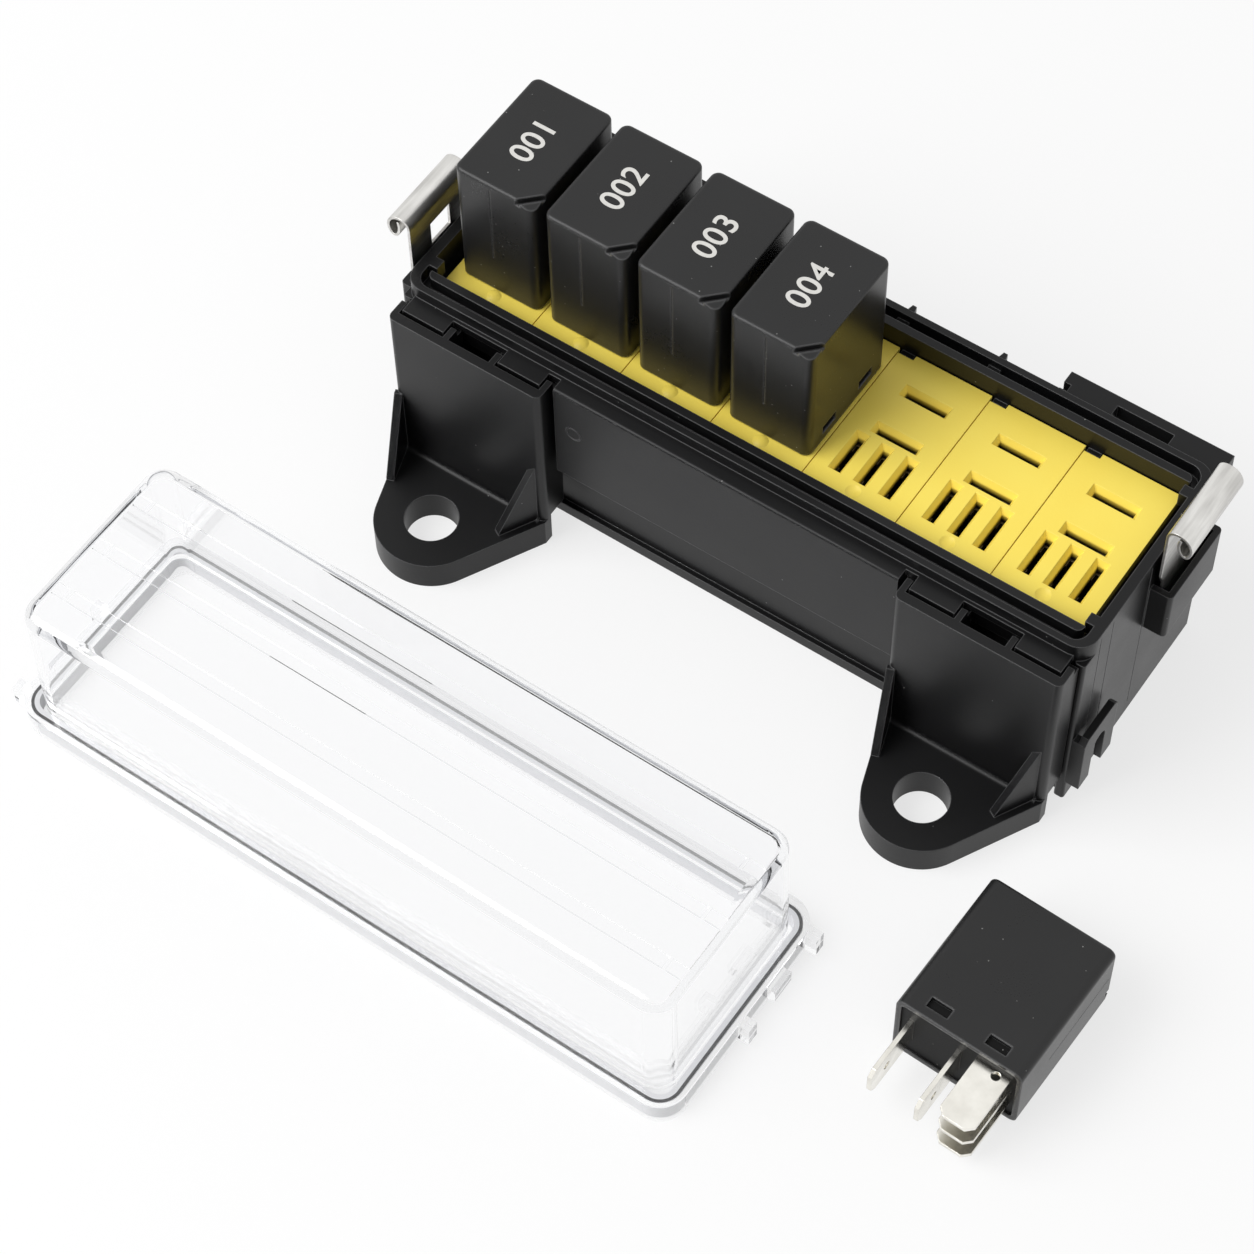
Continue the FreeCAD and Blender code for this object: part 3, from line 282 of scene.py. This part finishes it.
def socket_yellow():
    look = Finish("socket_yellow")
    cloud = look.noise(9.0, 3.0)
    skin = look.noise(0.5, 2.0)
    edge = look.edge(SOCKET_EDGE_MM)
    height = look.upward(look.place())
    depth = ((DECK - DARK_FROM - height) * (1 / (DARK_ALL - DARK_FROM))).clamped()
    body = look.colour(cloud, (0.98, 0.75, 0.105), (1.0, 0.81, 0.140))
    # painted highlight: the rounded lips of the slots are mixed towards a paler yellow
    lit = look.colour(edge * 0.4, body, (1.0, 0.86, 0.21))
    deep = look.colour(depth, lit, (0.02, 0.013, 0.003))
    rough = cloud * 0.1 + skin * 0.08 + 0.34
    normal = look.bump(skin, 0.01, look.rounding(SOCKET_EDGE_MM))
    return look.finish(look.shade(Base_Color=deep, Roughness=rough, Normal=normal,
                                  Specular_IOR_Level=0.4))


dress(socket_parts, socket_yellow())

# %% [markdown]
# The blades are tinned brass. Tin is bright and slightly warm, and it lies on the strip in faint
# waves that blur what it mirrors, with duller stains between them. The contacts in the sockets are
# bare brass that has gone dull, and their colour is also darkened far below that of brass, a
# painted shade for the narrow slots they sit in, so one sees only a brown glint of them. One
# function
# makes both, and the clips after them: they differ in their two colours, how rough they are, the
# size of their waves and the shape of their streaks, which are long on an axis with a small number.

# %% Tinned blades and brass contacts
STREAK_MM = 1.2
STAIN_MM = 6.0
METAL_EDGE_MM = 0.15


def plated(name, bright, dull, roughness, wave_mm, depth_mm, stretch):
    look = Finish(name)
    wave = look.noise(wave_mm, 2.0)
    streak = look.noise(STREAK_MM, 3.0, stretch)
    stain = look.noise(STAIN_MM, 4.0)
    colour = look.colour((stain * 0.6 + (streak - 0.35) * 1.6).clamped(), bright, dull)
    rough = streak * 0.16 + stain * 0.08 + (roughness - 0.12)
    height = wave * 0.8 + streak * 0.2
    normal = look.bump(height, depth_mm, look.rounding(METAL_EDGE_MM))
    return look.finish(look.shade(Base_Color=colour, Metallic=1.0, Roughness=rough, Normal=normal))


dress(blade_parts, plated("bright_tin", bright=(0.94, 0.92, 0.86), dull=(0.72, 0.70, 0.64),
                          roughness=0.22, wave_mm=4.0, depth_mm=0.03, stretch=(0.3, 0.3, 0.3)))
# painted shade: the contacts' brass colours are darkened for the narrow slots around them
dress(contact_parts, plated("dull_brass_slot_shade", bright=(0.20, 0.15, 0.08), dull=(0.10, 0.08, 0.04),
                            roughness=0.50, wave_mm=3.0, depth_mm=0.02, stretch=(0.25, 0.25, 1.0)))

# %% [markdown]
# The clips are spring steel with a satin nickel plate. Its fine streaks run along the rolled grip,
# and so straight across the leaf, which breaks up what the roll mirrors into long soft bands.

# %% Clips
dress(clip_parts, plated("satin_nickel", bright=(0.88, 0.87, 0.84), dull=(0.48, 0.47, 0.45),
                         roughness=0.32, wave_mm=5.0, depth_mm=0.03, stretch=(1.0, 0.10, 1.0)))

# %% [markdown]
# The seal is a soft rubber ring that stands in the groove of the cover's edge. Through the clear
# shoulder one sees a thin dark line along its top, and the rest of it hardly stands out from the
# white table. So the ring is painted a pale grey with a faint bloom, painted light for how the
# faces that lie against the clear plastic look through it, and only a narrow lip along the outer
# edge of its top keeps the rubber dark. A second mesh could carry the lip, but a colour needs only
# the distance from the outer edge. The ring is a rounded rectangle: a vector from the nearest corner
# centre, with nothing in it that points back to the middle, is as long as the corner radius on the
# outer edge, on the straight sides and round the corners alike. A corner centre that is a metre up
# takes height out of the sum. The ring lies turned by half a degree, so the point is turned back
# first.

# %% Seal rubber
SEAL_CORNER = 3.85 * MM
ABOVE_RING = 1.0
CORNER_CENTRE = (64.05 * MM - SEAL_CORNER, 20.25 * MM - SEAL_CORNER, ABOVE_RING)
LIP_WIDTH = 0.55 * MM
COVER_TURN = math.radians(-0.5)
FACES_UP = 0.5
seal_low, seal_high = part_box("cover_seal")
SEAL_MIDDLE = tuple((seal_low + seal_high) / 2)


def seal_rubber():
    look = Finish("dark_rubber")
    bloom = look.noise(4.0, 3.0)
    straight = look.node("ShaderNodeVectorRotate", {"rotation_type": "Z_AXIS"},
                         {"Vector": look.place(), "Center": SEAL_MIDDLE, "Angle": -COVER_TURN})
    quarter = look.vector("ABSOLUTE", look.vector("SUBTRACT", straight, SEAL_MIDDLE))
    past_centre = look.vector("MAXIMUM", look.vector("SUBTRACT", quarter, CORNER_CENTRE), (0, 0, 0))
    reach = look.vector("LENGTH", past_centre, out="Value")
    lip = (reach > SEAL_CORNER - LIP_WIDTH) * (look.upward(look.facing()) > FACES_UP)
    # painted light: the pale grey stands in for how the dark rubber looks through the clear plastic
    ring = look.colour(bloom, (0.70, 0.70, 0.71), (0.78, 0.78, 0.79))
    colour = look.colour(lip, ring, (0.015, 0.015, 0.016))
    return look.finish(look.shade(Base_Color=colour, Roughness=bloom * 0.15 + 0.5))


dress([NODES["cover_seal"]], seal_rubber())

# %% [markdown]
# The cover is clear polycarbonate with real wall thickness, so it can be real glass to the
# renderer: light bends in the rounded corners and draws the grey lines one sees in such covers. A
# path tracer makes hard dark shadows under glass, because it can't find the lamp through it. The
# usual cure is to let shadow rays pass straight through, with the pale tint that such a cover
# leaves on a table, and the rays that gather soft light for the table go through with them. Light
# that is trapped in a wall goes on being reflected until it leaves at the foot, which takes more
# bounces than a render allows and would end in black, so after two of them the wall lets it out.

# %% Clear cover
TRAPPED_BOUNCES = 1.5
POLYCARBONATE = 1.49


def clear_plastic():
    look = Finish("clear_polycarbonate")
    haze = look.noise(8.0, 2.0)
    glass = look.shade(Base_Color=(0.985, 0.986, 0.990), Roughness=haze * 0.02, IOR=POLYCARBONATE,
                       Transmission_Weight=1.0)
    passing = look.node("ShaderNodeBsdfTransparent", sockets={"Color": (0.955, 0.957, 0.962)})
    trapped = look.node("ShaderNodeLightPath", out="Glossy Depth") > TRAPPED_BOUNCES
    through = (look.ray("Shadow") + look.ray("Diffuse") + trapped).clamped()
    return look.finish(look.node("ShaderNodeMixShader", sockets={0: through, 1: glass, 2: passing}))


dress([NODES["clear_cover"]], clear_plastic())

# %% [markdown]
# Each plugged relay has a three-digit number printed on its top in pale ink. The digits here only
# count the places, from 001. A painted mask would need an image or a maze of nodes for each digit,
# so they are made as text, turned so that they read along the relay, flattened to a mesh and laid
# a hair's breadth above the lid, as a print stands on plastic. A little extra weight gives bold
# strokes. Each number rides on its relay, so it comes up when the relay is pulled.

# %% Printed place numbers
PRINT_HEIGHT = 4.1 * MM
PRINT_LIFT = 0.02 * MM
PRINT_WEIGHT = 0.018
PRINT_SPACING = 1.06
DIGIT_TO_FONT_SIZE = 0.7
PLUGGED_PLACES = (1, 2, 3, 4)


def print_ink():
    look = Finish("print_ink")
    wear = look.noise(0.5, 3.0)
    colour = look.colour(wear, (0.60, 0.59, 0.56), (0.76, 0.75, 0.72))
    return look.finish(look.shade(Base_Color=colour, Roughness=wear * 0.2 + 0.45))


INK = print_ink()


def printed_number(text, name, node):
    """Flat digits on the lid of a relay, reading along +Y with their tops towards -X."""
    curve = bpy.data.curves.new(name, "FONT")
    curve.body = text
    curve.align_x = "CENTER"
    curve.align_y = "CENTER"
    curve.size = PRINT_HEIGHT / DIGIT_TO_FONT_SIZE
    curve.offset = PRINT_WEIGHT * PRINT_HEIGHT
    curve.space_character = PRINT_SPACING
    source = bpy.data.objects.new(name + "_text", curve)
    bpy.context.collection.objects.link(source)
    bpy.context.view_layer.update()
    depsgraph = bpy.context.evaluated_depsgraph_get()
    mesh = bpy.data.meshes.new_from_object(source.evaluated_get(depsgraph))
    bpy.data.objects.remove(source)
    low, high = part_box(node)
    middle = Vector(((low.x + high.x) / 2, (low.y + high.y) / 2, high.z + PRINT_LIFT))
    mesh.transform(Matrix.Translation(middle) @ Matrix.Rotation(math.radians(90), 4, "Z"))
    mesh.materials.clear()
    mesh.materials.append(INK)
    piece = bpy.data.objects.new(name, mesh)
    bpy.context.collection.objects.link(piece)
    return piece


for place in PLUGGED_PLACES:
    number = printed_number("%03d" % place, "relay_%d_number" % place, "relay_%d_case" % place)
    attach(number, "relay_%d" % place)
print("printed numbers", len(PLUGGED_PLACES))

# %% [markdown]
# The table is a plain white sheet, lit a little from below, as product tables are. More light
# would make it white too, but it would wash out the part. Instead, to the camera and in anything
# glossy or clear, nearly three quarters of its white is its own light and the rest is what falls
# on it, so it keeps pale soft shadows. To the light that it throws back on the parts it is only a
# sheet, a shade darker than white, so that their undersides stay dim.

# %% Table
FLOOR_HALF = 3.0
OWN_WHITE = 0.72
SHEET_TO_PARTS = (0.80, 0.80, 0.80)
SHEET_TO_EYE = (0.90, 0.90, 0.90)
WHITE = (1.0, 1.0, 1.0)


def white_table():
    look = Finish("white_table")
    seen = look.seen()
    colour = look.colour(seen, SHEET_TO_PARTS, SHEET_TO_EYE)
    sheet = look.node("ShaderNodeBsdfDiffuse", sockets={"Color": colour})
    glow = look.node("ShaderNodeEmission", sockets={"Color": WHITE, "Strength": 1.0})
    own = seen * OWN_WHITE
    return look.finish(look.node("ShaderNodeMixShader", sockets={0: own, 1: sheet, 2: glow}))


corners = [(x * FLOOR_HALF, y * FLOOR_HALF, 0.0) for x, y in ((-1, -1), (1, -1), (1, 1), (-1, 1))]
table_mesh = bpy.data.meshes.new("table")
table_mesh.from_pydata(corners, [], [(0, 1, 2, 3)])
table_mesh.materials.append(white_table())
table = bpy.data.objects.new("table", table_mesh)
bpy.context.collection.objects.link(table)
print("table", 2 * FLOOR_HALF, "m across")

# %% [markdown]
# The light is that of a white tent: even light from all round, and one very large soft lamp high
# on the front left, which gives the soft shadows their direction. A small lamp would give hard
# shadows, and one behind would be mirrored by the flat tops to the camera. Together they come to a
# little over 1 on the table, so that a colour renders about as it is written.

# %% World and lamp
TENT_LIGHT = 0.48
LAMP_PLACE = Vector((-0.75, -0.75, 1.1))
LAMP_SIDE = 1.2
LAMP_WATTS = 22.0

world = bpy.data.worlds.new("white_tent")
bpy.context.scene.world = world
world.use_nodes = True
tent = Finish("white_tent", world.node_tree)
tent_level = tent.seen() * (1.0 - TENT_LIGHT) + TENT_LIGHT
backdrop = tent.node("ShaderNodeBackground", sockets={"Color": WHITE, "Strength": tent_level})
plug(backdrop, tent.tree.nodes.new("ShaderNodeOutputWorld").inputs["Surface"])

softbox = bpy.data.lights.new("key_softbox", "AREA")
softbox.shape = "RECTANGLE"
softbox.size = LAMP_SIDE
softbox.size_y = LAMP_SIDE
softbox.energy = LAMP_WATTS
lamp = bpy.data.objects.new("key_softbox", softbox)
lamp.location = LAMP_PLACE
lamp.rotation_euler = (-LAMP_PLACE).to_track_quat("-Z", "Y").to_euler()
bpy.context.collection.objects.link(lamp)
print("tent", TENT_LIGHT, "lamp", LAMP_WATTS, "W")

# %% [markdown]
# The camera stands where the photographer stood. Its place and turn were worked out from the
# corners of the housing and the sockets, whose real spacing is known: a lens of about 104 mm, from
# half a metre above the table. A shorter lens from nearer by would make the front foot too large.

# %% Camera
LENS_MM = 104.517
SENSOR_MM = 36.0
CAMERA_PLACE = (0.17918, -0.26112, 0.51256)
CAMERA_TURN = (32.44398, 0.83082, 34.41090)

camera_data = bpy.data.cameras.new("camera")
camera_data.lens = LENS_MM
camera_data.sensor_width = SENSOR_MM
camera_data.clip_start = 0.02
camera_data.clip_end = 20.0
camera = bpy.data.objects.new("camera", camera_data)
camera.location = CAMERA_PLACE
camera.rotation_euler = [math.radians(turn) for turn in CAMERA_TURN]
bpy.context.collection.objects.link(camera)
bpy.context.scene.camera = camera
bpy.context.scene.view_settings.view_transform = "Standard"
print("camera at", CAMERA_PLACE)
